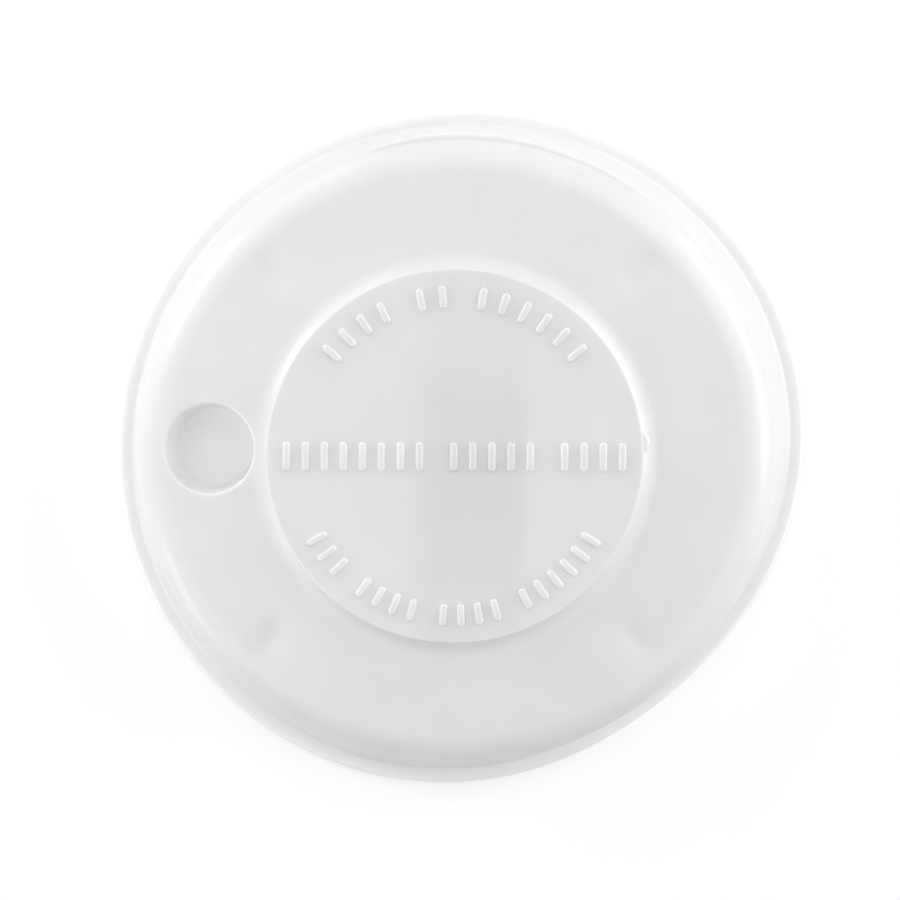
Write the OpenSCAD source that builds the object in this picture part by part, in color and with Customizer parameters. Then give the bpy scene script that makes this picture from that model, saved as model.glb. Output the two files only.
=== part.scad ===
// Push-on vent cap: one thin-walled moulding, open at the bottom.
// The origin is the centre of the lip's underside, +Z points up and the blind pocket lies towards -X.

/* [Shell] */
// Outer diameter of the lip, the widest part of the cap
cap_d = 150; // [140:1:170]
// Height from the lip's underside to the top of the round panel
cap_h = 15; // [13.5:0.5:20]
// Wall thickness of the whole shell
wall = 1.8; // [1.2:0.1:2.2]

/* [Lip and skirt] */
// Width of the flat lip outside the skirt's foot
lip_w = 3; // [2:0.1:4]
// Thickness of the lip
lip_t = 1.2; // [0.8:0.1:1.6]
// Lean of the skirt from upright, in degrees
skirt_draft = 21; // [14:1:24]
// Width of the small ledge between the shoulder and the skirt
ledge_w = 0.5; // [0.3:0.1:0.9]

/* [Deck and shoulder] */
// Fall of the deck towards the shoulder, in degrees
deck_slope = 4; // [2:0.5:5]
// Steepness of the shoulder where it meets the ledge, in degrees
shoulder_end = 55; // [45:1:65]
// Sideways reach of the rounded shoulder
shoulder_w = 6.9; // [6:0.1:8]

/* [Round panel] */
// Diameter of the raised round panel
panel_d = 81.2; // [76:0.2:86]
// Rise of the panel above the deck beside it
panel_rise = 1.95; // [1.4:0.05:2.2]
// Sideways reach of the hollow fillet round the panel
fillet_w = 4.5; // [3.5:0.1:5.5]

/* [Pocket] */
// Diameter of the blind pocket's mouth
pocket_d = 19.4; // [16:0.2:21]
// Land left between the panel's edge and the pocket's mouth
pocket_land = 3.3; // [2.5:0.1:4]
// Draft of the pocket's wall, in degrees
pocket_draft = 4; // [2:0.5:6]
// Rounding inside the pocket where its wall meets its floor
pocket_fillet = 0.9; // [0.4:0.1:1.2]
// Rounding of the pocket's mouth
mouth_round = 0.5; // [0.3:0.1:0.8]
// Place of the pocket round the cap, in degrees
pocket_angle = 179; // [170:1:190]

/* [Legs] */
// Number of legs under the deck
leg_count = 4; // [3:1:6]
// Land left between a leg and the deck's outer edge
leg_land = 1.8; // [0.5:0.1:4]
// Width of a leg, along the cap's radius
leg_w = 7.6; // [6:0.1:9]
// Thickness of a leg
leg_t = 1.8; // [1.2:0.1:2.4]
// Height of a leg's end above the lip's underside
leg_gap = 1; // [0.4:0.1:2]
// Lead-in chamfer on a leg's corners
leg_chamfer = 1; // [0.5:0.1:1.4]

/* [Raised marks] */
// Height of the raised marks above the panel
mark_h = 0.5; // [0.3:0.05:0.8]
// Width of one mark
mark_w = 1.9; // [1.2:0.1:2.4]
// Length of a mark in the two arcs
arc_mark_len = 5.2; // [4:0.1:6.5]
// Length of a mark in the straight row
row_mark_len = 6.6; // [5:0.1:8]
// Margin between the panel's edge and the marks
mark_margin = 3.4; // [2:0.1:5]
// Distance from mark to mark in the upper arc, in degrees
upper_pitch = 7.9; // [6.5:0.1:9]
// Distance from mark to mark in the lower arc, in degrees
lower_pitch = 6.4; // [5.5:0.1:7.5]
// Extra space between two groups of marks, as a share of the pitch
group_gap = 0.8; // [0.4:0.1:1.2]

/* [Gate stub] */
// Length of the gate stub along the panel's edge
stub_len = 5.2; // [4:0.2:6]
// How far the stub stands out from the panel's edge
stub_out = 1.6; // [1:0.1:2]
// Height of the stub, measured down from the panel's top
stub_h = 1.6; // [1:0.1:1.8]
// Angle of the stub round the cap, in degrees
stub_angle = 4.5; // [0:0.5:10]

/* [Hidden] */
$fn = 128;
arc_steps = 10;
edge_steps = 3;
fillet_steps = 4;
lip_steps = 6;
cut_extra = 1;
edge_round = 0.4;
foot_fillet = 0.6;
first_leg_angle = 45;
upper_groups = [4, 2, 6];
row_groups = [8, 5, 4];
lower_groups = [3, 4, 4, 6];

// A point of a profile that lies at angle a from upright on a circle about c
function on_arc(c, r, a) = [c[0] + r * sin(a), c[1] + r * cos(a)];
// The points of an arc from angle a0 to a1, both measured from upright
function arc(c, r, a0, a1, n = arc_steps) =
    [for (i = [0:n]) on_arc(c, r, a0 + (a1 - a0) * i / n)];

// Outer surface, from the panel's edge down to the skirt's foot
cap_r = cap_d / 2;
foot_r = cap_r - lip_w;
panel_r = panel_d / 2;
fillet_end = 2 * atan(panel_rise / fillet_w) - deck_slope;
fillet_r = fillet_w / (sin(fillet_end) - sin(deck_slope));
deck_r0 = panel_r + fillet_w;
deck_z0 = cap_h - panel_rise;
fillet_c = [deck_r0 + fillet_r * sin(deck_slope), deck_z0 + fillet_r * cos(deck_slope)];
edge_reach = edge_round * tan(fillet_end / 2);

shoulder_r = shoulder_w / (sin(shoulder_end) - sin(deck_slope));
ledge_drop = ledge_w * tan(deck_slope);
shoulder_drop = shoulder_r * (cos(deck_slope) - cos(shoulder_end));

// The deck ends where shoulder, ledge and skirt just reach the skirt's foot
rise_left = deck_z0 + deck_r0 * tan(deck_slope) - shoulder_drop - ledge_drop - lip_t;
run_left = foot_r - shoulder_w - ledge_w;
deck_r1 = (run_left - rise_left * tan(skirt_draft)) / (1 - tan(deck_slope) * tan(skirt_draft));
deck_z1 = deck_z0 - (deck_r1 - deck_r0) * tan(deck_slope);
shoulder_c = [deck_r1 - shoulder_r * sin(deck_slope), deck_z1 - shoulder_r * cos(deck_slope)];
ledge_in = on_arc(shoulder_c, shoulder_r, shoulder_end);
ledge_out = ledge_in + [ledge_w, -ledge_drop];

// Height of the deck's outer surface at radius r
function deck_z(r) = deck_z0 - (r - deck_r0) * tan(deck_slope);

// Points of the shell's surface at depth t below the outer one, from the panel's edge to the ledge
function fillet_start(t) =
    t == 0 ? fillet_end - edge_reach / fillet_r * 180 / PI
           : acos((fillet_c[1] - cap_h + t) / (fillet_r + t));
function skin(t) = concat(
    arc(fillet_c, -(fillet_r + t), fillet_start(t), deck_slope),
    arc(shoulder_c, shoulder_r - t, deck_slope, shoulder_end)
);

// Radius of the skirt's surface at height z and depth t
function skirt_r(z, t) = foot_r - (z - lip_t) * tan(skirt_draft) - t / cos(skirt_draft);
function bend(t) = let (z = on_arc(shoulder_c, shoulder_r - t, shoulder_end)[1]) [skirt_r(z, t), z];

module shell_section() {
    panel_edge = [panel_r - edge_reach, cap_h - edge_round];
    foot = [foot_r + foot_fillet, lip_t + foot_fillet];
    polygon(concat(
        [[0, cap_h]],
        arc(panel_edge, edge_round, 0, fillet_end, edge_steps),
        skin(0),
        [ledge_out],
        arc(foot, -foot_fillet, 90 - skirt_draft, 0, edge_steps),
        arc([cap_r - lip_t / 2, lip_t / 2], lip_t / 2, 0, 180, lip_steps),
        [[skirt_r(0, wall), 0], bend(wall)],
        [for (i = [len(skin(wall)) - 1:-1:0]) skin(wall)[i]],
        [[0, cap_h - wall]]
    ));
}

// All that lies under the middle of the wall, which trims what grows out of the shell
module under_wall() {
    depth = wall / 2;
    rotate_extrude() polygon(concat(
        [[0, 0], [0, cap_h - depth]],
        skin(depth),
        [bend(depth), [skirt_r(0, depth), 0]]
    ));
}

// Pocket, one cup with a drafted wall, whose foot stands level with the lip
pocket_r = pocket_d / 2;
pocket_reach = panel_r + pocket_land + pocket_r;
mouth_z = deck_z(pocket_reach);
floor_r = pocket_r - (mouth_z - wall) * tan(pocket_draft);

function pocket_wall_r(z) = floor_r + (z - wall) * tan(pocket_draft);

module at_pocket() {
    rotate([0, 0, pocket_angle]) translate([pocket_reach, 0, 0]) children();
}

module pocket_boss() {
    at_pocket() rotate_extrude() polygon([
        [0, 0],
        [pocket_wall_r(0) + wall, 0],
        [pocket_wall_r(cap_h) + wall, cap_h],
        [0, cap_h]
    ]);
}

module pocket_hollow() {
    top = cap_h + cut_extra;
    floor_bend = [floor_r - pocket_fillet, wall + pocket_fillet];
    at_pocket() rotate_extrude() polygon(concat(
        [[0, wall]],
        arc(floor_bend, pocket_fillet, 180, 90 + pocket_draft, fillet_steps),
        [[pocket_wall_r(top), top], [0, top]]
    ));
    // The flare that rounds the mouth leans with the deck
    at_pocket() translate([0, 0, mouth_z]) rotate([0, deck_slope, 0]) rotate_extrude() polygon(concat(
        [[0, -mouth_round]],
        arc([pocket_r + mouth_round, -mouth_round], mouth_round, -90, 0, fillet_steps),
        [[pocket_r + mouth_round + cut_extra, cut_extra], [0, cut_extra]]
    ));
}

// One leg, a radial plate that grows out of the deck's underside
module leg() {
    r1 = deck_r1 - leg_land;
    r0 = r1 - leg_w;
    translate([0, leg_t / 2, 0]) rotate([90, 0, 0]) linear_extrude(leg_t) polygon([
        [r0, leg_gap + leg_chamfer],
        [r0 + leg_chamfer, leg_gap],
        [r1 - leg_chamfer, leg_gap],
        [r1, leg_gap + leg_chamfer],
        [r1, cap_h],
        [r0, cap_h]
    ]);
}

module legs() {
    for (i = [0:leg_count - 1])
        rotate([0, 0, first_leg_angle + i * 360 / leg_count]) leg();
}

// Places of the marks of a row of groups, in pitches from the row's middle
function before(groups, g) = g == 0 ? 0 : before(groups, g - 1) + groups[g - 1] + group_gap;
function span(groups) = before(groups, len(groups) - 1) + groups[len(groups) - 1] - 1;
function places(groups) =
    [for (g = [0:len(groups) - 1], k = [0:groups[g] - 1]) before(groups, g) + k - span(groups) / 2];

// One raised mark, a plain bar with round ends that stands along Y
module mark(length) {
    bar = length - mark_w;
    translate([0, 0, cap_h - mark_h]) linear_extrude(2 * mark_h) {
        square([mark_w, bar], center = true);
        for (y = [-bar / 2, bar / 2])
            translate([0, y]) circle(d = mark_w);
    }
}

module mark_arc(groups, pitch, middle) {
    for (p = places(groups))
        rotate([0, 0, middle - p * pitch])
            translate([0, panel_r - mark_margin - arc_mark_len / 2, 0])
                mark(arc_mark_len);
}

module mark_row(groups) {
    pitch = (panel_d - 2 * mark_margin - mark_w) / span(groups);
    for (p = places(groups))
        translate([p * pitch, 0, 0]) mark(row_mark_len);
}

module marks() {
    mark_arc(upper_groups, upper_pitch, 0);
    mark_row(row_groups);
    mark_arc(lower_groups, -lower_pitch, 180);
}

// Gate stub, a half round left standing on the panel's edge
module gate_stub() {
    lobe = (stub_len * stub_len / 4 + stub_out * stub_out) / (2 * stub_out);
    rotate([0, 0, stub_angle])
        translate([panel_r + stub_out - lobe, 0, cap_h - stub_h])
            intersection() {
                cylinder(h = stub_h, r = lobe);
                translate([lobe - stub_out - edge_round, -stub_len / 2, 0])
                    cube([stub_out + edge_round, stub_len, stub_h]);
            }
}

module cap() {
    color("whitesmoke") difference() {
        union() {
            rotate_extrude() shell_section();
            intersection() {
                under_wall();
                union() {
                    pocket_boss();
                    legs();
                }
            }
            gate_stub();
            marks();
        }
        pocket_hollow();
    }
}

cap();
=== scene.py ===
"""Push-on vent cap: one milky white moulding on a plain white table, under soft studio light."""

import logging
import math
from dataclasses import dataclass, field
from enum import Enum
from typing import Callable, Iterable

import bmesh
import bpy
from mathutils import Matrix, Vector


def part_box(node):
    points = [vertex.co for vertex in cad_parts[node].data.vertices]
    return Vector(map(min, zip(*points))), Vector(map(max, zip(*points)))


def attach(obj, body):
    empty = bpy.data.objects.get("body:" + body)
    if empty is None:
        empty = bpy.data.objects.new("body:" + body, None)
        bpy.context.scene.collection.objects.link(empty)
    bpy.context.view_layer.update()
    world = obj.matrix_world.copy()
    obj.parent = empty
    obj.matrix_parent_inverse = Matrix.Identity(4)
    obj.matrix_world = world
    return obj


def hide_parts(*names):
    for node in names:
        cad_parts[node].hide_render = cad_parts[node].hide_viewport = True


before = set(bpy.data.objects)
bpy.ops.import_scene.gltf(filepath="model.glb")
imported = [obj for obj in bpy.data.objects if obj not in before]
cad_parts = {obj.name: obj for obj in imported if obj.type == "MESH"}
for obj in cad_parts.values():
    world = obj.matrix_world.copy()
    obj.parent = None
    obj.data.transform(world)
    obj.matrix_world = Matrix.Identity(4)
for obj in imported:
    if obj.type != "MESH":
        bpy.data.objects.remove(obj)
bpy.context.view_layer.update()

MM = 0.001
MERGE_DISTANCE = 1e-7
AXIS_DISTANCE = 1e-9
SPOT_EDGE = (0.5, 1.2)
NODE = "cap"
BODY = "root"

log = logging.getLogger("vent_cap")

Point = tuple[float, float]


class Side(Enum):
    """The surface of the wall that a profile follows."""

    OUTER = 0.0
    INNER = 1.0


class Turns(Enum):
    """How many steps a full turn of each kind of round shape takes."""

    SHELL = 512
    CAVITY = 256
    BOSS = 128
    STUB = 64
    MARK_END = 20


@dataclass(frozen=True)
class Steps:
    """How many straight pieces each stretch of the cap's profile takes."""

    edge: int = 6
    fillet: int = 14
    deck: int = 20
    shoulder: int = 16
    ledge: int = 3
    skirt: int = 9
    foot: int = 5
    lip_top: int = 4
    lip_edge: int = 12
    hollow_skirt: int = 6
    hollow_fine: float = 0.7


def clamp(value: float) -> float:
    """Holds a value between 0 and 1."""
    return min(1.0, max(0.0, value))


def away_from(degrees: float, middle: float) -> float:
    """How far a direction lies from another one, from -180 to 180 degrees."""
    return (degrees - middle + 180) % 360 - 180


def polar(radius: float, degrees: float, height: float = 0.0) -> Vector:
    """A point of the cap's frame from its polar place.

    Args:
        radius: Distance from the cap's axis.
        degrees: Angle from +X towards +Y.
        height: Height above the lip's underside.

    Returns:
        The point.
    """
    angle = math.radians(degrees)
    return Vector((radius * math.cos(angle), radius * math.sin(angle), height))


def arc(centre: Point, radius: float, start: float, end: float, steps: int) -> list[Point]:
    """Points of a profile along an arc, with angles measured from upright.

    Args:
        centre: Centre of the arc, as radius and height.
        radius: Radius of the arc; a negative one takes the side away from the angle.
        start: First angle, in degrees.
        end: Last angle, in degrees.
        steps: Number of straight pieces.

    Returns:
        The points, one more than the steps.
    """
    angles = [math.radians(start + (end - start) * i / steps) for i in range(steps + 1)]
    return [(centre[0] + radius * math.sin(a), centre[1] + radius * math.cos(a)) for a in angles]


def line(start: Point, end: Point, steps: int) -> list[Point]:
    """Points of a profile along a straight line, without its first and last point.

    Args:
        start: Point before the first one.
        end: Point after the last one.
        steps: Number of straight pieces between start and end.

    Returns:
        The points between.
    """
    return [
        (start[0] + (end[0] - start[0]) * i / steps, start[1] + (end[1] - start[1]) * i / steps)
        for i in range(1, steps)
    ]


def corner(before: Point, at: Point, after: Point, radius: float, steps: int) -> list[Point]:
    """A corner of a profile, rounded.

    Args:
        before: A point on the way into the corner.
        at: The sharp corner.
        after: A point on the way out of it.
        radius: Radius of the rounding.
        steps: Number of straight pieces.

    Returns:
        The points of the rounding.
    """
    into = (Vector(at) - Vector(before)).normalized()
    out = (Vector(after) - Vector(at)).normalized()
    turn = into.angle(out)
    reach = radius * math.tan(turn / 2)
    centre = Vector(at) + (out - into).normalized() * (radius / math.cos(turn / 2))
    spoke = Vector(at) - into * reach - centre
    sweep = spoke.angle_signed(Vector(at) + out * reach - centre)
    points = []
    for i in range(steps + 1):
        cos, sin = math.cos(sweep * i / steps), -math.sin(sweep * i / steps)
        points.append((centre.x + spoke.x * cos - spoke.y * sin, centre.y + spoke.x * sin + spoke.y * cos))
    return points


@dataclass(frozen=True)
class CapForm:
    """Driving sizes of the moulding, in metres and radians, and the section that follows from them."""

    rim_radius: float
    panel_top: float
    wall: float = 1.8 * MM
    lip_width: float = 3.0 * MM
    lip_height: float = 1.2 * MM
    draft: float = math.radians(21)
    ledge_width: float = 0.5 * MM
    slope: float = math.radians(4)
    shoulder_end: float = math.radians(55)
    shoulder_width: float = 6.9 * MM
    panel_radius: float = 40.6 * MM
    panel_rise: float = 1.95 * MM
    fillet_width: float = 3.7 * MM
    edge_round: float = 0.5 * MM
    foot_fillet: float = 0.6 * MM
    ledge_round: float = 0.12 * MM
    support: float = 0.3 * MM
    steps: Steps = Steps()

    @classmethod
    def from_frame(cls, node: str, mark_rise: float) -> "CapForm":
        """Sizes of a cap that fills the box of its construction node.

        Args:
            node: Name of the node.
            mark_rise: Height of the raised marks, which the box includes.

        Returns:
            The form.
        """
        low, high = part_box(node)
        return cls(rim_radius=(high.x - low.x) / 2, panel_top=high.z - mark_rise)

    @property
    def foot_radius(self) -> float:
        """Radius of the skirt's foot at the top of the lip."""
        return self.rim_radius - self.lip_width

    @property
    def fillet_end(self) -> float:
        """Steepness of the hollow fillet where it meets the panel's edge."""
        return 2 * math.atan(self.panel_rise / self.fillet_width) - self.slope

    @property
    def fillet_radius(self) -> float:
        """Radius of the hollow fillet round the panel."""
        return self.fillet_width / (math.sin(self.fillet_end) - math.sin(self.slope))

    @property
    def deck_start(self) -> Point:
        """Where the fillet runs out into the deck."""
        return self.panel_radius + self.fillet_width, self.panel_top - self.panel_rise

    @property
    def fillet_centre(self) -> Point:
        """Centre of the hollow fillet, above the deck."""
        r, z = self.deck_start
        return r + self.fillet_radius * math.sin(self.slope), z + self.fillet_radius * math.cos(self.slope)

    @property
    def edge_centre(self) -> Point:
        """Centre of the rounding that leads from the panel into the hollow fillet.

        Returns:
            Its radius and height.
        """
        r, z = self.fillet_centre
        height = self.panel_top - self.edge_round
        return r - math.sqrt((self.fillet_radius + self.edge_round) ** 2 - (z - height) ** 2), height

    @property
    def edge_end(self) -> float:
        """Steepness where the rounding of the panel's edge meets the fillet."""
        rise = self.fillet_centre[1] - self.edge_centre[1]
        return math.acos(rise / (self.fillet_radius + self.edge_round))

    @property
    def edge_foot(self) -> float:
        """Radius where the rounding of the panel's edge meets the fillet."""
        return self.edge_centre[0] + self.edge_round * math.sin(self.edge_end)

    @property
    def shoulder_radius(self) -> float:
        """Radius of the rounded shoulder."""
        return self.shoulder_width / (math.sin(self.shoulder_end) - math.sin(self.slope))

    @property
    def deck_end(self) -> Point:
        """Where the deck runs out into the shoulder, so that the skirt just reaches its foot.

        Returns:
            Its radius and height.
        """
        r0, z0 = self.deck_start
        fall = self.shoulder_radius * (math.cos(self.slope) - math.cos(self.shoulder_end))
        ledge_fall = self.ledge_width * math.tan(self.slope)
        rise = z0 + r0 * math.tan(self.slope) - fall - ledge_fall - self.lip_height
        run = self.foot_radius - self.shoulder_width - self.ledge_width
        r1 = (run - rise * math.tan(self.draft)) / (1 - math.tan(self.slope) * math.tan(self.draft))
        return r1, z0 - (r1 - r0) * math.tan(self.slope)

    @property
    def shoulder_centre(self) -> Point:
        """Centre of the shoulder's rounding."""
        (r, z), turn = self.deck_end, self.shoulder_radius
        return r - turn * math.sin(self.slope), z - turn * math.cos(self.slope)

    def height(self, radius: float) -> float:
        """Height of the outer surface between the panel's edge and the ledge.

        Args:
            radius: Distance from the cap's axis.

        Returns:
            The height.
        """
        if radius < self.deck_start[0]:
            centre = self.fillet_centre
            return centre[1] - math.sqrt(self.fillet_radius**2 - (centre[0] - radius) ** 2)
        if radius < self.deck_end[0]:
            return self.deck_start[1] - (radius - self.deck_start[0]) * math.tan(self.slope)
        centre = self.shoulder_centre
        return centre[1] + math.sqrt(self.shoulder_radius**2 - (radius - centre[0]) ** 2)

    def skirt(self, height: float, depth: float) -> float:
        """Radius of the skirt's surface.

        Args:
            height: Height above the lip's underside.
            depth: Depth below the outer surface.

        Returns:
            The radius.
        """
        lean = (height - self.lip_height) * math.tan(self.draft)
        return self.foot_radius - lean - depth / math.cos(self.draft)

    def skin(self, side: Side, fine: float) -> list[Point]:
        """Points of one surface of the wall from the panel's edge to the ledge.

        Args:
            side: Outer or inner surface.
            fine: Factor on the number of points.

        Returns:
            The points, outwards.
        """
        depth = self.wall * side.value
        radius = self.fillet_radius + depth
        if side is Side.OUTER:
            start = self.edge_end
        else:
            start = math.acos((self.fillet_centre[1] - self.panel_top + depth) / radius)
        slope = math.degrees(self.slope)
        fillet = arc(
            self.fillet_centre, -radius, math.degrees(start), slope, round(self.steps.fillet * fine),
        )
        shoulder = arc(
            self.shoulder_centre, self.shoulder_radius - depth,
            slope, math.degrees(self.shoulder_end), round(self.steps.shoulder * fine),
        )
        return fillet + line(fillet[-1], shoulder[0], round(self.steps.deck * fine)) + shoulder

    def outer_profile(self) -> list[Point]:
        """The outer surface as a profile, from the panel down to the lip's underside.

        Returns:
            The points, with both ends on flat faces that a round face closes.
        """
        steps = self.steps
        edge = self.edge_centre
        top = [(edge[0] - self.support, self.panel_top)]
        top += arc(edge, self.edge_round, 0, math.degrees(self.edge_end), steps.edge)[:-1]
        skin = self.skin(Side.OUTER, 1.0)
        ledge_in = skin[-1]
        ledge_out = (ledge_in[0] + self.ledge_width, ledge_in[1] - self.ledge_width * math.tan(self.slope))
        foot_centre = (self.foot_radius + self.foot_fillet, self.lip_height + self.foot_fillet)
        foot = arc(foot_centre, -self.foot_fillet, 90 - math.degrees(self.draft), 0, steps.foot)
        ledge = corner(skin[-2], ledge_in, ledge_out, self.ledge_round, steps.ledge)
        ledge += corner(ledge_in, ledge_out, foot[0], self.ledge_round, steps.ledge)
        half = self.lip_height / 2
        lip = arc((self.rim_radius - half, half), half, 0, 180, steps.lip_edge)
        hollow = self.skirt(0, self.wall)
        bottom = [(hollow + self.support, 0.0), (hollow - self.support, 0.0)]
        return (
            top + skin[:-1] + ledge + line(ledge[-1], foot[0], steps.skirt) + foot
            + line(foot[-1], lip[0], steps.lip_top) + lip + bottom
        )

    def inner_profile(self, below: float) -> list[Point]:
        """The hollow under the shell as a profile, from under the panel down past the lip.

        Args:
            below: How far the hollow runs on below the lip's underside.

        Returns:
            The points.
        """
        skin = self.skin(Side.INNER, self.steps.hollow_fine)
        bend_height = skin[-1][1]
        bend = (self.skirt(bend_height, self.wall), bend_height)
        foot = (self.skirt(0, self.wall), 0.0)
        return (
            [(skin[0][0] - self.support, self.panel_top - self.wall)] + skin + [bend]
            + line(bend, foot, self.steps.hollow_skirt) + [foot, (foot[0], -below)]
        )


def new_object(name: str, mesh_source: bmesh.types.BMesh) -> bpy.types.Object:
    """Turns a bmesh into a linked object at the origin and frees it.

    Args:
        name: Name of the object.
        mesh_source: The finished bmesh.

    Returns:
        The object.
    """
    bmesh.ops.remove_doubles(mesh_source, verts=mesh_source.verts, dist=MERGE_DISTANCE)
    bmesh.ops.recalc_face_normals(mesh_source, faces=mesh_source.faces)
    mesh = bpy.data.meshes.new(name)
    mesh_source.to_mesh(mesh)
    mesh_source.free()
    made = bpy.data.objects.new(name, mesh)
    bpy.context.scene.collection.objects.link(made)
    return made


def spun(profile: Iterable[Point], turns: Turns) -> bmesh.types.BMesh:
    """A solid of revolution whose open ends are closed by round faces.

    Args:
        profile: Points as radius and height.
        turns: Steps of the full turn.

    Returns:
        The closed bmesh.
    """
    bm = bmesh.new()
    verts = [bm.verts.new((r, 0.0, z)) for r, z in profile]
    edges = [bm.edges.new(pair) for pair in zip(verts, verts[1:])]
    bmesh.ops.spin(
        bm, geom=verts + edges, cent=(0, 0, 0), axis=(0, 0, 1), dvec=(0, 0, 0),
        angle=2 * math.pi, steps=turns.value, use_merge=True, use_duplicate=False,
    )
    close_rings(bm)
    return bm


def close_rings(bm: bmesh.types.BMesh) -> None:
    """Closes each open ring of a bmesh with one face, in place."""
    bmesh.ops.holes_fill(bm, edges=[e for e in bm.edges if e.is_boundary], sides=0)


def boolean(target: bpy.types.Object, tool: bpy.types.Object, operation: str) -> None:
    """Joins or cuts one closed mesh with another, and removes the tool.

    Args:
        target: Object that keeps the result.
        tool: Object that is used up.
        operation: UNION or DIFFERENCE.
    """
    modifier = target.modifiers.new(operation.title(), "BOOLEAN")
    modifier.operation = operation
    modifier.solver = "EXACT"
    modifier.object = tool
    graph = bpy.context.evaluated_depsgraph_get()
    old = target.data
    target.data = bpy.data.meshes.new_from_object(target.evaluated_get(graph))
    target.modifiers.remove(modifier)
    bpy.data.meshes.remove(old)
    tool_mesh = tool.data
    bpy.data.objects.remove(tool)
    bpy.data.meshes.remove(tool_mesh)


@dataclass(frozen=True)
class Pocket:
    """The blind round pocket, one cup whose foot stands level with the lip."""

    form: CapForm
    radius: float = 9.8 * MM
    land: float = 3.0 * MM
    draft: float = math.radians(4)
    bend: float = 0.9 * MM
    mouth_round: float = 0.5 * MM
    degrees: float = 178.5
    margin: float = 2.0 * MM
    edge_margin: float = 0.05 * MM
    lowest: float = 5.0 * MM
    skin_rings: int = 6
    mouth_rings: int = 6
    wall_rings: int = 8
    bend_rings: int = 6

    @property
    def reach(self) -> float:
        """Distance of the pocket's axis from the cap's axis."""
        return self.form.panel_radius + self.land + self.radius

    @property
    def axis(self) -> Vector:
        """Foot of the pocket's axis."""
        return polar(self.reach, self.degrees)

    @property
    def floor_radius(self) -> float:
        """Radius of the pocket's wall where it would meet the floor."""
        depth = self.form.height(self.reach) - self.form.wall
        return self.radius - depth * math.tan(self.draft)

    def wall_radius(self, height: float) -> float:
        """Radius of the pocket's wall at a height above the lip's underside."""
        return self.floor_radius + (height - self.form.wall) * math.tan(self.draft)

    def on_wall(self, height: float) -> Point:
        """Distance from the pocket's axis, and height, of a point on its wall."""
        return self.wall_radius(height), height

    def clear_patch(self, bm: bmesh.types.BMesh) -> None:
        """Takes the faces round the pocket's mouth out of the outer skin.

        Args:
            bm: The outer skin, changed in place.
        """
        half = math.degrees((self.radius + self.mouth_round + self.margin) / self.reach)
        nearest = self.form.edge_foot + self.edge_margin
        farthest = self.reach + self.radius + self.mouth_round + self.margin
        gone = []
        for face in bm.faces:
            centre = face.calc_center_median()
            away = away_from(math.degrees(math.atan2(centre.y, centre.x)), self.degrees)
            if abs(away) < half and nearest < centre.xy.length < farthest and centre.z > self.lowest:
                gone.append(face)
        bmesh.ops.delete(bm, geom=gone, context="FACES")

    def ring(
        self, bm: bmesh.types.BMesh, edges: list[bmesh.types.BMEdge],
        place: Callable[[float, float], tuple[float, float | None]],
    ) -> list[bmesh.types.BMEdge]:
        """Draws a new ring of faces inwards from an open one.

        Args:
            bm: The bmesh, changed in place.
            edges: Edges of the open ring.
            place: Gives the new distance from the pocket's axis and the new height, or None for the
                height of the skin, from the old distance and the old height.

        Returns:
            Edges of the new open ring.
        """
        made = bmesh.ops.extrude_edge_only(bm, edges=edges)["geom"]
        for vert in (g for g in made if isinstance(g, bmesh.types.BMVert)):
            spoke = (vert.co - self.axis) * Vector((1, 1, 0))
            distance, height = place(spoke.length, vert.co.z)
            moved = self.axis + spoke.normalized() * distance
            moved.z = self.form.height(moved.xy.length) if height is None else height
            vert.co = moved
        return [g for g in made if isinstance(g, bmesh.types.BMEdge) and g.is_boundary]

    def draw_in(self, bm: bmesh.types.BMesh) -> None:
        """Fills the patch up to the mouth, rounds the mouth and draws the cup down to its floor.

        Args:
            bm: The outer skin with the patch cleared, changed in place.
        """
        edges = [e for e in bm.edges if e.is_boundary]
        mouth = self.radius + self.mouth_round
        for i in range(self.skin_rings):
            share = 1 / (self.skin_rings - i)
            edges = self.ring(bm, edges, lambda d, z: (d + (mouth - d) * share, None))
        for i in range(self.mouth_rings):
            before, after = (math.pi / 2 * k / self.mouth_rings for k in (i, i + 1))
            inwards = self.mouth_round * (math.sin(after) - math.sin(before))
            down = self.mouth_round * (math.cos(before) - math.cos(after))
            edges = self.ring(bm, edges, lambda d, z: (d - inwards, z - down))
        bend_top = self.form.wall + self.bend * (1 - math.sin(self.draft))
        for i in range(self.wall_rings):
            share = 1 / (self.wall_rings - i)
            edges = self.ring(bm, edges, lambda d, z: self.on_wall(z + (bend_top - z) * share))
        bend_radius = self.wall_radius(bend_top) - self.bend * math.cos(self.draft)
        for i in range(self.bend_rings):
            turn = self.draft + (math.pi / 2 - self.draft) * (i + 1) / self.bend_rings
            distance = bend_radius + self.bend * math.cos(turn)
            height = self.form.wall + self.bend * (1 - math.sin(turn))
            edges = self.ring(bm, edges, lambda d, z: (distance, height))
        edges = self.ring(bm, edges, lambda d, z: (d - self.form.support, z))
        close_rings(bm)

    def boss(self, below: float) -> bpy.types.Object:
        """The cup's outside, as a tool that leaves room for it in the hollow.

        Args:
            below: How far the tool runs on below the lip's underside.

        Returns:
            The tool.
        """
        bm = bmesh.new()
        height = self.form.panel_top + below
        bmesh.ops.create_cone(
            bm, cap_ends=True, segments=Turns.BOSS.value, depth=height,
            radius1=self.wall_radius(-below) + self.form.wall,
            radius2=self.wall_radius(self.form.panel_top) + self.form.wall,
            matrix=Matrix.Translation(self.axis + Vector((0, 0, height / 2 - below))),
        )
        return new_object("pocket_boss", bm)


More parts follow.
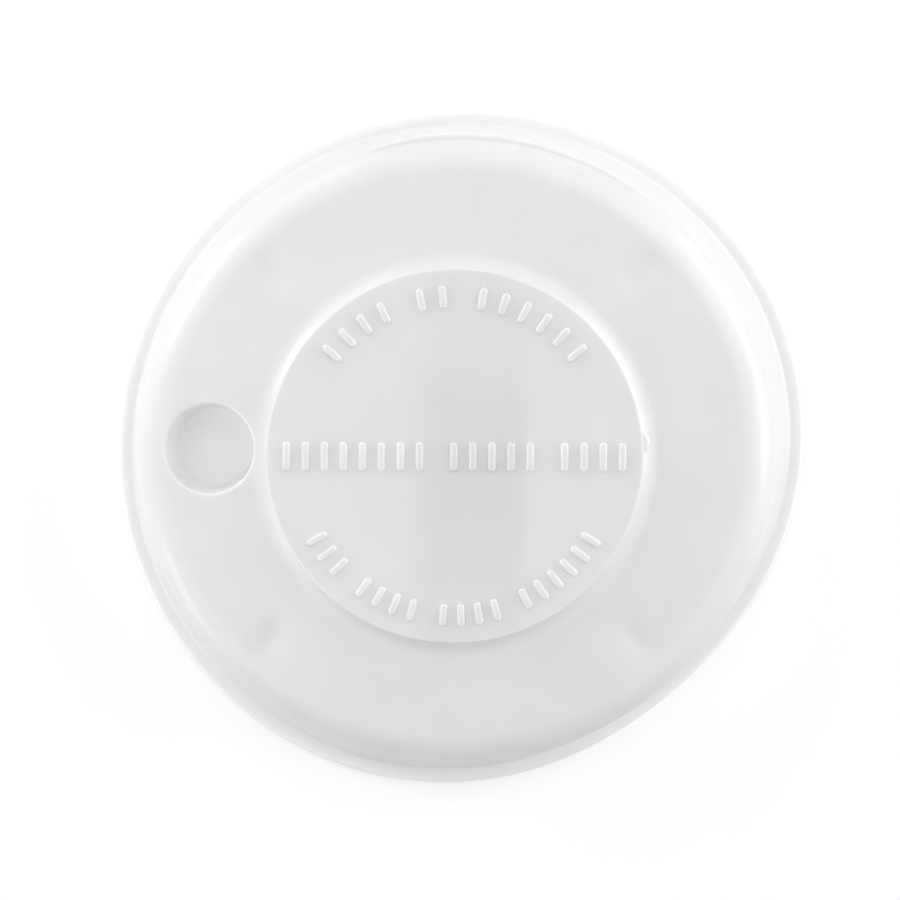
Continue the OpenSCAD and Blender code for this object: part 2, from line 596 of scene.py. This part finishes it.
@dataclass(frozen=True)
class Legs:
    """Radial plates under the deck that push into the vent's collar."""

    form: CapForm
    count: int = 4
    first: float = 45.0
    land: float = 1.8 * MM
    width: float = 7.6 * MM
    thickness: float = 1.8 * MM
    gap: float = 1.0 * MM
    chamfer: float = 1.0 * MM

    @property
    def middle(self) -> float:
        """Distance of a leg's middle from the cap's axis."""
        return self.form.deck_end[0] - self.land - self.width / 2

    @staticmethod
    def is_low_end(edge: bmesh.types.BMEdge) -> bool:
        """Whether an edge of an unmoved leg runs across its thickness at its lower end."""
        one, other = (v.co for v in edge.verts)
        return one.z < 0 and other.z < 0 and one.x * other.x > 0 and one.y != other.y

    def tool(self) -> bpy.types.Object:
        """All legs as one tool that leaves room for them in the hollow.

        Returns:
            The tool.
        """
        bm = bmesh.new()
        height = self.form.panel_top - self.gap
        for i in range(self.count):
            made = bmesh.ops.create_cube(bm, size=1.0)["verts"]
            bmesh.ops.scale(bm, verts=made, vec=(self.width, self.thickness, height))
            crossways = [e for e in bm.edges if set(e.verts) <= set(made) and self.is_low_end(e)]
            bevelled = bmesh.ops.bevel(
                bm, geom=crossways, offset=self.chamfer, affect="EDGES",
                segments=1, profile=0.5, material=-1,
            )
            verts = [v for v in made if v.is_valid] + bevelled["verts"]
            place = Matrix.Translation((self.middle, 0, self.gap + height / 2))
            turn = Matrix.Rotation(math.radians(self.first + 360 / self.count * i), 4, "Z")
            bmesh.ops.transform(bm, matrix=turn @ place, verts=verts)
        return new_object("legs", bm)


@dataclass(frozen=True)
class Marks:
    """Plain raised bars in groups, in two arcs and one straight row, with the pitches in degrees."""

    form: CapForm
    rise: float
    width: float = 1.9 * MM
    arc_length: float = 5.2 * MM
    row_length: float = 6.6 * MM
    margin: float = 3.4 * MM
    upper_pitch: float = 7.9
    lower_pitch: float = 6.4
    group_gap: float = 0.8
    upper_groups: tuple[int, ...] = (4, 2, 6)
    row_groups: tuple[int, ...] = (8, 5, 4)
    lower_groups: tuple[int, ...] = (3, 4, 4, 6)
    edge: float = 0.42 * MM
    edge_steps: int = 4
    root: float = 0.6 * MM
    draft: float = 0.12 * MM

    def places(self, groups: tuple[int, ...]) -> list[float]:
        """Places of the bars of a row.

        Args:
            groups: How many bars each group holds.

        Returns:
            Places in pitches, about the row's middle.
        """
        places, at = [], 0.0
        for count in groups:
            places += [at + k for k in range(count)]
            at += count + self.group_gap
        return [p - places[-1] / 2 for p in places]

    def bar(self, bm: bmesh.types.BMesh, length: float, place: Matrix) -> None:
        """Adds one bar with round ends, drafted sides and rounded upper edges.

        Args:
            bm: The bmesh, changed in place.
            length: Length of the bar.
            place: Where the bar goes, from a bar about the origin that stands along Y.
        """
        flat = bmesh.ops.create_circle(
            bm, cap_ends=True, radius=self.width / 2, segments=Turns.MARK_END.value,
            matrix=Matrix.Rotation(math.pi / Turns.MARK_END.value, 4, "Z"),
        )["verts"]
        shift = (length - self.width) / 2
        for vert in flat:
            vert.co.y += math.copysign(shift, vert.co.y)
        base = flat[0].link_faces[0]
        raised = bmesh.ops.extrude_face_region(bm, geom=[base])["geom"]
        top = [g for g in raised if isinstance(g, bmesh.types.BMVert)]
        bmesh.ops.translate(bm, verts=top, vec=(0, 0, self.rise + self.root))
        for vert in top:
            end = Vector((0, math.copysign(shift, vert.co.y), vert.co.z))
            vert.co -= (vert.co - end).normalized() * self.draft
        rim = [g for g in raised if isinstance(g, bmesh.types.BMEdge)]
        rounded = bmesh.ops.bevel(
            bm, geom=rim, offset=self.edge, affect="EDGES",
            segments=self.edge_steps, profile=0.5, material=-1,
        )
        verts = list(set(flat) | {v for f in rounded["faces"] for v in f.verts})
        place = place @ Matrix.Translation((0, 0, self.form.panel_top - self.root))
        bmesh.ops.transform(bm, matrix=place, verts=verts)

    def tool(self) -> bpy.types.Object:
        """All bars as one closed mesh that joins the panel.

        Returns:
            The mesh object.
        """
        bm = bmesh.new()
        radius = self.form.panel_radius - self.margin - self.arc_length / 2
        for groups, pitch, middle in (
            (self.upper_groups, self.upper_pitch, 0.0),
            (self.lower_groups, -self.lower_pitch, 180.0),
        ):
            for p in self.places(groups):
                turn = Matrix.Rotation(math.radians(middle - p * pitch), 4, "Z")
                self.bar(bm, self.arc_length, turn @ Matrix.Translation((0, radius, 0)))
        places = self.places(self.row_groups)
        pitch = (2 * (self.form.panel_radius - self.margin) - self.width) / (places[-1] - places[0])
        for p in places:
            self.bar(bm, self.row_length, Matrix.Translation((p * pitch, 0, 0)))
        return new_object("marks", bm)


@dataclass(frozen=True)
class GateStub:
    """The half round left standing on the panel's edge where the plastic came in."""

    form: CapForm
    length: float = 5.2 * MM
    out: float = 1.6 * MM
    height: float = 1.6 * MM
    degrees: float = 4.5
    drop: float = 0.2 * MM
    edge: float = 0.75 * MM
    edge_steps: int = 5

    def tool(self) -> bpy.types.Object:
        """The stub as a short round pin that joins the panel's edge.

        Returns:
            The mesh object.
        """
        bm = bmesh.new()
        lobe = (self.length**2 / 4 + self.out**2) / (2 * self.out)
        centre = polar(self.form.panel_radius + self.out - lobe, self.degrees)
        centre.z = self.form.panel_top - self.drop - self.height / 2
        bmesh.ops.create_cone(
            bm, cap_ends=True, segments=Turns.STUB.value, radius1=lobe, radius2=lobe, depth=self.height,
            matrix=Matrix.Translation(centre),
        )
        rim = [e for e in bm.edges if all(v.co.z > centre.z for v in e.verts)]
        bmesh.ops.bevel(
            bm, geom=rim, offset=self.edge, affect="EDGES",
            segments=self.edge_steps, profile=0.5, material=-1,
        )
        return new_object("gate_stub", bm)


@dataclass(frozen=True)
class Swell:
    """A soft bulge of the lip and the skirt's foot to one side; a negative one tucks them in."""

    out: float
    degrees: float
    half_width: float

    def at(self, degrees: float) -> float:
        """How far the foot stands out at an angle round the cap."""
        away = away_from(degrees, self.degrees) / self.half_width
        return self.out * math.exp(-away * away / 2)


@dataclass(frozen=True)
class Specimen:
    """How this one moulding departs from its drawing: a little oval, bent at its foot, sunk at the legs."""

    form: CapForm
    scale: float = 0.982
    shift: float = -0.28 * MM
    grown: float = 0.35 * MM
    foot_out: float = -0.45 * MM
    oval: float = 0.64 * MM
    oval_degrees: float = 26.0
    swells: tuple[Swell, ...] = (Swell(1.45 * MM, 25.4, 35.0), Swell(-3.03 * MM, 311.8, 23.3))
    bend_top: float = 8.0 * MM
    bend_gain: float = 1.5
    ledge_trim: float = 0.36 * MM
    ledge_swell: float = 1.05 * MM
    swell_degrees: float = 90.0
    swell_before: float = 40.0
    swell_after: float = 17.0
    sharp_power: float = 1.25
    sink_depth: float = 0.45 * MM
    sink_half_width: float = 2.1 * MM
    sink_limit: float = 12.0

    def moved(self, at: Vector) -> Vector:
        """Where a point of the drawing lies on the specimen.

        Args:
            at: The point as drawn.

        Returns:
            The point as moulded.
        """
        radius = at.xy.length
        if radius < AXIS_DISTANCE:
            return at.copy()
        degrees = math.degrees(math.atan2(at.y, at.x))
        grow = self.oval * (radius / self.form.rim_radius) ** 2
        grow *= math.cos(2 * math.radians(degrees - self.oval_degrees))
        low = clamp((self.bend_top - at.z) / (self.bend_top - self.form.lip_height))
        inner = self.form.deck_end[0]
        outer = clamp(self.bend_gain * (radius - inner) / (self.form.foot_radius - inner))
        lip = clamp((radius - self.form.foot_radius) / self.form.lip_width)
        out = self.grown + self.foot_out * (1 - lip) + sum(swell.at(degrees) for swell in self.swells)
        grow += out * low * outer
        grow += self.ledge_shift(radius, at.z, degrees)
        factor = 1 + grow / radius
        return Vector(((at.x * factor + self.shift) * self.scale, at.y * factor * self.scale, at.z))

    def ledge_shift(self, radius: float, height: float, degrees: float) -> float:
        """How far the skirt's top stands out where the mould's halves didn't quite meet.

        Args:
            radius: Drawn distance from the cap's axis.
            height: Drawn height.
            degrees: Drawn angle.

        Returns:
            The shift outwards.
        """
        form = self.form
        start = form.shoulder_centre[0] + form.shoulder_radius * math.sin(form.shoulder_end)
        out = clamp((radius - start) / form.ledge_width)
        up = clamp((height - form.lip_height) / (form.height(start) - form.lip_height))
        away = away_from(degrees, self.swell_degrees)
        if away > 0:
            swell = max(0.0, 1 - (away / self.swell_after) ** 2)
        else:
            swell = max(0.0, 1 - (-away / self.swell_before) ** self.sharp_power)
        return (self.ledge_swell * swell - self.ledge_trim) * out * up

    def sink(self, bm: bmesh.types.BMesh, legs: Legs) -> None:
        """Lets the deck sink a little over each leg.

        Args:
            bm: The outer skin, changed in place.
            legs: The legs that draw the plastic in.
        """
        for vert in bm.verts:
            if vert.co.z < self.form.deck_end[1] - self.form.wall:
                continue
            for i in range(legs.count):
                spot = polar(legs.middle, legs.first + 360 / legs.count * i)
                along = spot.xy.normalized()
                gap = vert.co.xy - spot.xy
                run = max(0.0, abs(gap.dot(along)) - legs.width / 2 + self.sink_half_width)
                side = abs(gap.x * along.y - gap.y * along.x)
                reach = (run * run + side * side) / (2 * self.sink_half_width**2)
                if reach < self.sink_limit:
                    vert.co.z -= self.sink_depth * math.exp(-reach)

    def shape(self, mesh: bpy.types.Mesh) -> None:
        """Bends a finished mesh to the specimen's form, in place."""
        for vert in mesh.vertices:
            vert.co = self.moved(vert.co)


def seen(tree: bpy.types.NodeTree) -> bpy.types.NodeSocket:
    """Adds a light path test: 1 for what the camera or a reflection sees, 0 for light on things.

    Args:
        tree: Node tree of a material or of the world.

    Returns:
        The test's socket.
    """
    rays = tree.nodes.new("ShaderNodeLightPath").outputs
    found = rays["Is Camera Ray"]
    for name in ("Is Glossy Ray", "Is Transmission Ray"):
        either = tree.nodes.new("ShaderNodeMath")
        either.operation = "MAXIMUM"
        tree.links.new(found, either.inputs[0])
        tree.links.new(rays[name], either.inputs[1])
        found = either.outputs[0]
    return found


class NodeBench:
    """A material's node tree, with short ways to add and join nodes."""

    def __init__(self, name: str) -> None:
        """Makes a material with its usual shader and output.

        Args:
            name: Name of the material.
        """
        self.material = bpy.data.materials.new(name)
        self.material.use_nodes = True
        self.tree = self.material.node_tree
        self.shader = self.tree.nodes["Principled BSDF"]
        self.place = self.tree.nodes.new("ShaderNodeTexCoord").outputs["Object"]
        parts = self.tree.nodes.new("ShaderNodeSeparateXYZ")
        self.tree.links.new(self.place, parts.inputs[0])
        self.x, self.y, self.z = parts.outputs[0], parts.outputs[1], parts.outputs[2]

    def feed(self, socket: bpy.types.NodeSocket, value: object) -> None:
        """Sets a socket to a plain value or joins another socket to it.

        Args:
            socket: The input socket.
            value: A number, a tuple or an output socket.
        """
        if isinstance(value, bpy.types.NodeSocket):
            self.tree.links.new(value, socket)
        else:
            socket.default_value = value

    def math(self, operation: str, *values: object) -> bpy.types.NodeSocket:
        """Adds a Math node.

        Args:
            operation: Name of the operation.
            values: Its inputs.

        Returns:
            The result's socket.
        """
        node = self.tree.nodes.new("ShaderNodeMath")
        node.operation = operation
        for socket, value in zip(node.inputs, values):
            self.feed(socket, value)
        return node.outputs[0]

    def ramp(
        self, value: bpy.types.NodeSocket, low: float, high: float, to: Point = (0.0, 1.0),
    ) -> bpy.types.NodeSocket:
        """Adds a smooth step of a value between two levels.

        Args:
            value: The value that is read.
            low: Level where the step starts.
            high: Level where it ends.
            to: Result at the start and at the end.

        Returns:
            The result's socket.
        """
        node = self.tree.nodes.new("ShaderNodeMapRange")
        node.interpolation_type = "SMOOTHSTEP"
        given = {"Value": value, "From Min": low, "From Max": high, "To Min": to[0], "To Max": to[1]}
        for name, level in given.items():
            self.feed(node.inputs[name], level)
        return node.outputs["Result"]

    def noise(self, size: float, detail: float) -> bpy.types.NodeSocket:
        """Adds smooth noise, from 0 to 1.

        Args:
            size: Rough size of a patch, in metres.
            detail: Number of finer layers.

        Returns:
            The noise's socket.
        """
        node = self.tree.nodes.new("ShaderNodeTexNoise")
        self.feed(node.inputs["Vector"], self.place)
        self.feed(node.inputs["Scale"], 1 / size)
        self.feed(node.inputs["Detail"], detail)
        return node.outputs["Fac"]

    def spot(self, centre: tuple[float, float, float], radius: float) -> bpy.types.NodeSocket:
        """Adds a small soft ball, 1 inside and 0 outside.

        Args:
            centre: Its centre, in metres.
            radius: Its radius.

        Returns:
            The ball's socket.
        """
        node = self.tree.nodes.new("ShaderNodeVectorMath")
        node.operation = "DISTANCE"
        self.feed(node.inputs[0], self.place)
        self.feed(node.inputs[1], centre)
        full, gone = (radius * share for share in SPOT_EDGE)
        return self.ramp(node.outputs["Value"], full, gone, (1.0, 0.0))

    def bump(
        self, height: bpy.types.NodeSocket, depth: float, under: bpy.types.NodeSocket | None = None,
    ) -> bpy.types.NodeSocket:
        """Adds a bump.

        Args:
            height: Height from 0 to 1.
            depth: What a height of 1 stands for, in metres.
            under: Normal of another bump that this one lies on.

        Returns:
            The normal's socket.
        """
        node = self.tree.nodes.new("ShaderNodeBump")
        self.feed(node.inputs["Height"], height)
        self.feed(node.inputs["Distance"], depth)
        if under is not None:
            self.feed(node.inputs["Normal"], under)
        return node.outputs["Normal"]


@dataclass(frozen=True)
class Speck:
    """A grain of dirt in the plastic."""

    place: tuple[float, float, float]
    radius: float
    dark: float


@dataclass(frozen=True)
class Grain:
    """A noise: the size of its patches, its number of finer layers, and the levels it steps between."""

    size: float
    detail: float
    levels: Point = (0.0, 1.0)


@dataclass(frozen=True)
class MilkyPlastic:
    """Soft natural polyethylene: satin, a little cloudy, with a grey band on the panel, a few specks, and
    painted light that makes the lip and the pocket paler.
    """

    tone: float = 0.8
    ior: float = 1.5
    roughness: float = 0.33
    rubbed: float = 0.06
    rub: Grain = Grain(9 * MM, 4.0, (0.35, 0.7))
    depth: float = 1.2 * MM
    share: float = 1.0
    # Painted light: gains that make the lip and the pocket's walls and floor paler than the plastic, in
    # place of light coming through and of the pocket's shade lifted.
    lip_painted_glow: float = 0.155
    cup_painted_glow: float = 0.19
    floor_painted_glow: float = 0.12
    cloud: float = 0.008
    clouds: Grain = Grain(14 * MM, 3.0, (0.3, 0.7))
    band: float = 0.058
    band_left: Point = (-13.5 * MM, -1.5 * MM)
    band_right: Point = (11.8 * MM, 17.2 * MM)
    band_middle: float = -6.2 * MM
    band_length: float = 42.0 * MM
    band_least: float = 0.3
    band_below: Point = (0.4 * MM, 0.2 * MM)
    peel_depth: float = 0.012 * MM
    peel: Grain = Grain(5 * MM, 2.0)
    grain_depth: float = 0.003 * MM
    grain: Grain = Grain(0.5 * MM, 2.0)
    specks: tuple[Speck, ...] = (
        Speck((-53.0 * MM, -7.2 * MM, 2.4 * MM), 0.28 * MM, 0.25),
        Speck((-53.3 * MM, -6.1 * MM, 1.9 * MM), 0.2 * MM, 0.12),
        Speck((-19.9 * MM, -11.3 * MM, 15.0 * MM), 0.22 * MM, 0.12),
    )

    def build(self, form: CapForm) -> bpy.types.Material:
        """Makes the material.

        Args:
            form: The cap's sizes, which place the band on the panel.

        Returns:
            The material.
        """
        bench = NodeBench("milky_plastic")
        shader = bench.shader.inputs
        shader["IOR"].default_value = self.ior
        shader["Subsurface Weight"].default_value = self.share
        shader["Subsurface Radius"].default_value = (1.0, 1.0, 1.0)
        shader["Subsurface Scale"].default_value = self.depth
        # The tone takes in painted light here: the lip and the pocket are made paler.
        tone = bench.math("ADD", self.band_tone(bench, form), self.painted_glow(bench, form))
        tone = bench.math("MULTIPLY", tone, self.speck_tone(bench))
        tone = bench.math("ADD", tone, self.patches(bench, self.clouds, (-self.cloud, self.cloud)))
        colour = bench.tree.nodes.new("ShaderNodeCombineColor")
        for socket in colour.inputs:
            bench.feed(socket, tone)
        bench.feed(shader["Base Color"], colour.outputs[0])
        rough = self.patches(bench, self.rub, (self.roughness, self.roughness + self.rubbed))
        bench.feed(shader["Roughness"], rough)
        peel = bench.bump(bench.noise(self.peel.size, self.peel.detail), self.peel_depth)
        grain = bench.bump(bench.noise(self.grain.size, self.grain.detail), self.grain_depth, peel)
        bench.feed(shader["Normal"], grain)
        return bench.material

    @staticmethod
    def patches(bench: NodeBench, grain: Grain, to: Point) -> bpy.types.NodeSocket:
        """A value that changes softly between two others, from patch to patch."""
        return bench.ramp(bench.noise(grain.size, grain.detail), *grain.levels, to)

    def band_tone(self, bench: NodeBench, form: CapForm) -> bpy.types.NodeSocket:
        """The base tone, made darker in a soft grey band across the panel.

        Args:
            bench: The material's nodes.
            form: The cap's sizes.

        Returns:
            The tone's socket.
        """
        left = bench.ramp(bench.x, *self.band_left)
        right = bench.ramp(bench.x, *self.band_right, (1.0, 0.0))
        across = bench.math("MULTIPLY", left, right)
        away = bench.math("ABSOLUTE", bench.math("SUBTRACT", bench.y, self.band_middle))
        along = bench.ramp(away, 0.0, self.band_length, (1.0, self.band_least))
        on_panel = bench.ramp(bench.z, *(form.panel_top - below for below in self.band_below))
        mask = bench.math("MULTIPLY", bench.math("MULTIPLY", across, along), on_panel)
        return bench.math("SUBTRACT", self.tone, bench.math("MULTIPLY", mask, self.band))

    def painted_glow(self, bench: NodeBench, form: CapForm) -> bpy.types.NodeSocket:
        """Painted light: how much paler the colour is made at the lip and in the pocket, standing in for
        light that comes through the thin plastic and lifting the pocket's shade.

        Args:
            bench: The material's nodes.
            form: The cap's sizes.

        Returns:
            The gain's socket.
        """
        # Painted light: the lip, the pocket's walls and its floor are each made paler by a gain, in place
        # of light through the thin plastic.
        lip_top = form.lip_height
        lip = bench.ramp(bench.z, lip_top, lip_top + form.foot_fillet, (self.lip_painted_glow, 0.0))
        pocket = Pocket(form)
        axis = Specimen(form).moved(pocket.axis)
        run = bench.math("POWER", bench.math("SUBTRACT", bench.x, axis.x), 2.0)
        side = bench.math("POWER", bench.math("SUBTRACT", bench.y, axis.y), 2.0)
        away = bench.math("SQRT", bench.math("ADD", run, side))
        cup = bench.ramp(away, pocket.radius - pocket.mouth_round, pocket.radius, (self.cup_painted_glow, 0.0))
        floor = bench.ramp(bench.z, form.wall, form.wall + pocket.bend, (self.floor_painted_glow, self.cup_painted_glow))
        return bench.math("MAXIMUM", lip, bench.math("MINIMUM", cup, floor))

    def speck_tone(self, bench: NodeBench) -> bpy.types.NodeSocket:
        """A factor on the tone, under 1 at each speck."""
        factor: object = 1.0
        for speck in self.specks:
            dark = bench.math("MULTIPLY", bench.spot(speck.place, speck.radius), speck.dark)
            factor = bench.math("SUBTRACT", factor, dark)
        return factor


@dataclass
class VentCap:
    """The whole cap, one moulding."""

    marks_rise: float = 0.5 * MM
    below: float = 1.0 * MM
    smooth_angle: float = math.radians(38)
    form: CapForm = field(init=False)

    def __post_init__(self) -> None:
        """Takes the overall size from the construction node."""
        self.form = CapForm.from_frame(NODE, self.marks_rise)

    def build(self) -> bpy.types.Object:
        """Models the moulding and bends it to the specimen's form.

        Returns:
            The finished piece, without a material.
        """
        pocket, legs = Pocket(self.form), Legs(self.form)
        marks = Marks(self.form, self.marks_rise)
        specimen = Specimen(self.form)
        skin = spun(self.form.outer_profile(), Turns.SHELL)
        pocket.clear_patch(skin)
        pocket.draw_in(skin)
        specimen.sink(skin, legs)
        cap = new_object("cap_moulding", skin)
        log.info("outer skin: %d faces", len(cap.data.polygons))
        hollow = new_object("hollow", spun(self.form.inner_profile(self.below), Turns.CAVITY))
        boolean(hollow, pocket.boss(2 * self.below), "DIFFERENCE")
        boolean(hollow, legs.tool(), "DIFFERENCE")
        boolean(cap, hollow, "DIFFERENCE")
        boolean(cap, marks.tool(), "UNION")
        boolean(cap, GateStub(self.form).tool(), "UNION")
        specimen.shape(cap.data)
        cap.data.shade_smooth()
        cap.data.set_sharp_from_angle(angle=self.smooth_angle)
        log.info("moulding: %d faces", len(cap.data.polygons))
        return cap

    def dress(self, cap: bpy.types.Object, finish: MilkyPlastic) -> None:
        """Gives the moulding its material and its place on the frame.

        Args:
            cap: The finished piece.
            finish: The plastic.
        """
        cap.data.materials.clear()
        cap.data.materials.append(finish.build(self.form))
        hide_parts(NODE)
        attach(cap, BODY)


@dataclass(frozen=True)
class Table:
    """Plain white round table top that keeps the shadow and shows white elsewhere."""

    radius: float = 0.9
    tone: float = 0.92
    lift: float = 0.175
    gap: float = 0.1 * MM

    def build(self) -> None:
        """Makes the table top."""
        bm = bmesh.new()
        bmesh.ops.create_circle(
            bm, cap_ends=True, radius=self.radius, segments=Turns.BOSS.value,
            matrix=Matrix.Translation((0, 0, -self.gap)),
        )
        top = new_object("table", bm)
        top.data.materials.append(self.material())

    def material(self) -> bpy.types.Material:
        """Matt white, lifted to paper white where the camera or a reflection sees it."""
        bench = NodeBench("table_white")
        bench.shader.inputs["Base Color"].default_value = (self.tone, self.tone, self.tone, 1)
        bench.shader.inputs["Roughness"].default_value = 1.0
        bench.shader.inputs["Specular IOR Level"].default_value = 0.0
        bench.shader.inputs["Emission Color"].default_value = (1, 1, 1, 1)
        lift = bench.math("MULTIPLY", seen(bench.tree), self.lift)
        bench.feed(bench.shader.inputs["Emission Strength"], lift)
        return bench.material


@dataclass(frozen=True)
class PhotoCamera:
    """A camera half a metre above the cap, a little towards its upper right."""

    place: tuple[float, float, float] = (21.69 * MM, 36.24 * MM, 486.1 * MM)
    target: tuple[float, float, float] = (-1.81 * MM, 0.35 * MM, 0.0)
    lens: float = 89.2
    sensor: float = 36.0

    def build(self) -> None:
        """Makes the camera and makes it the scene's."""
        data = bpy.data.cameras.new("photo_camera")
        data.lens, data.sensor_width = self.lens, self.sensor
        data.sensor_fit = "HORIZONTAL"
        camera = bpy.data.objects.new("photo_camera", data)
        bpy.context.scene.collection.objects.link(camera)
        back = (Vector(self.place) - Vector(self.target)).normalized()
        right = Vector((0, 1, 0)).cross(back).normalized()
        turn = Matrix((right, back.cross(right), back)).transposed().to_4x4()
        camera.matrix_world = Matrix.Translation(self.place) @ turn
        bpy.context.scene.camera = camera


@dataclass(frozen=True)
class SoftLight:
    """One round soft light that looks at the cap."""

    name: str
    degrees: float
    climb: float
    power: float
    size: float = 0.5

    def build(self, distance: float) -> None:
        """Hangs the light.

        Args:
            distance: Distance from the cap's foot.
        """
        data = bpy.data.lights.new(self.name, "AREA")
        data.shape = "DISK"
        data.size = self.size
        data.energy = self.power
        light = bpy.data.objects.new(self.name, data)
        bpy.context.scene.collection.objects.link(light)
        climb = math.radians(self.climb)
        towards = polar(math.cos(climb), self.degrees, math.sin(climb))
        light.location = towards * distance
        light.rotation_mode = "QUATERNION"
        light.rotation_quaternion = towards.to_track_quat("Z", "Y")
        light.visible_camera = False


@dataclass(frozen=True)
class Studio:
    """Soft boxes in a ring above the cap, and low lights round it."""

    distance: float = 1.2
    room: float = 0.02
    lights: tuple[SoftLight, ...] = (
        SoftLight("overhead_left_box", 180, 65, 1.6, 0.8),
        SoftLight("right_box", 0, 45, 1.7, 0.8),
        SoftLight("back_right_box", 45, 45, 2.82, 0.8),
        SoftLight("back_box", 90, 45, 1.15, 0.8),
        SoftLight("back_left_box", 135, 45, 2.65, 0.8),
        SoftLight("front_left_box", 225, 45, 3.45, 0.8),
        SoftLight("front_right_box", 315, 45, 2.1, 0.8),
        SoftLight("low_right", 0, 10, 3.85),
        SoftLight("low_back_right", 30, 10, 4.6),
        SoftLight("low_back", 120, 10, 2.4),
        SoftLight("low_back_left", 150, 10, 4.5),
        SoftLight("low_front_left", 210, 10, 2.85),
    )

    def build(self) -> None:
        """Hangs the lights, and sets the room and how colours are shown."""
        scene = bpy.context.scene
        scene.view_settings.view_transform = "Standard"
        for light in self.lights:
            light.build(self.distance)
        world = bpy.data.worlds.new("pale_room")
        scene.world = world
        world.use_nodes = True
        nodes, links = world.node_tree.nodes, world.node_tree.links
        background = nodes["Background"]
        background.inputs["Color"].default_value = (1, 1, 1, 1)
        level = nodes.new("ShaderNodeMapRange")
        level.inputs["To Min"].default_value = self.room
        level.inputs["To Max"].default_value = 1.0
        links.new(seen(world.node_tree), level.inputs["Value"])
        links.new(level.outputs["Result"], background.inputs["Strength"])


def main() -> None:
    """Builds the cap, the table, the light and the camera."""
    logging.basicConfig(level=logging.INFO, format="%(name)s: %(message)s")
    cap = VentCap()
    piece = cap.build()
    cap.dress(piece, MilkyPlastic())
    log.info("%s: %d triangles", piece.name, sum(len(p.vertices) - 2 for p in piece.data.polygons))
    Table().build()
    Studio().build()
    PhotoCamera().build()


if __name__ == "__main__":
    main()
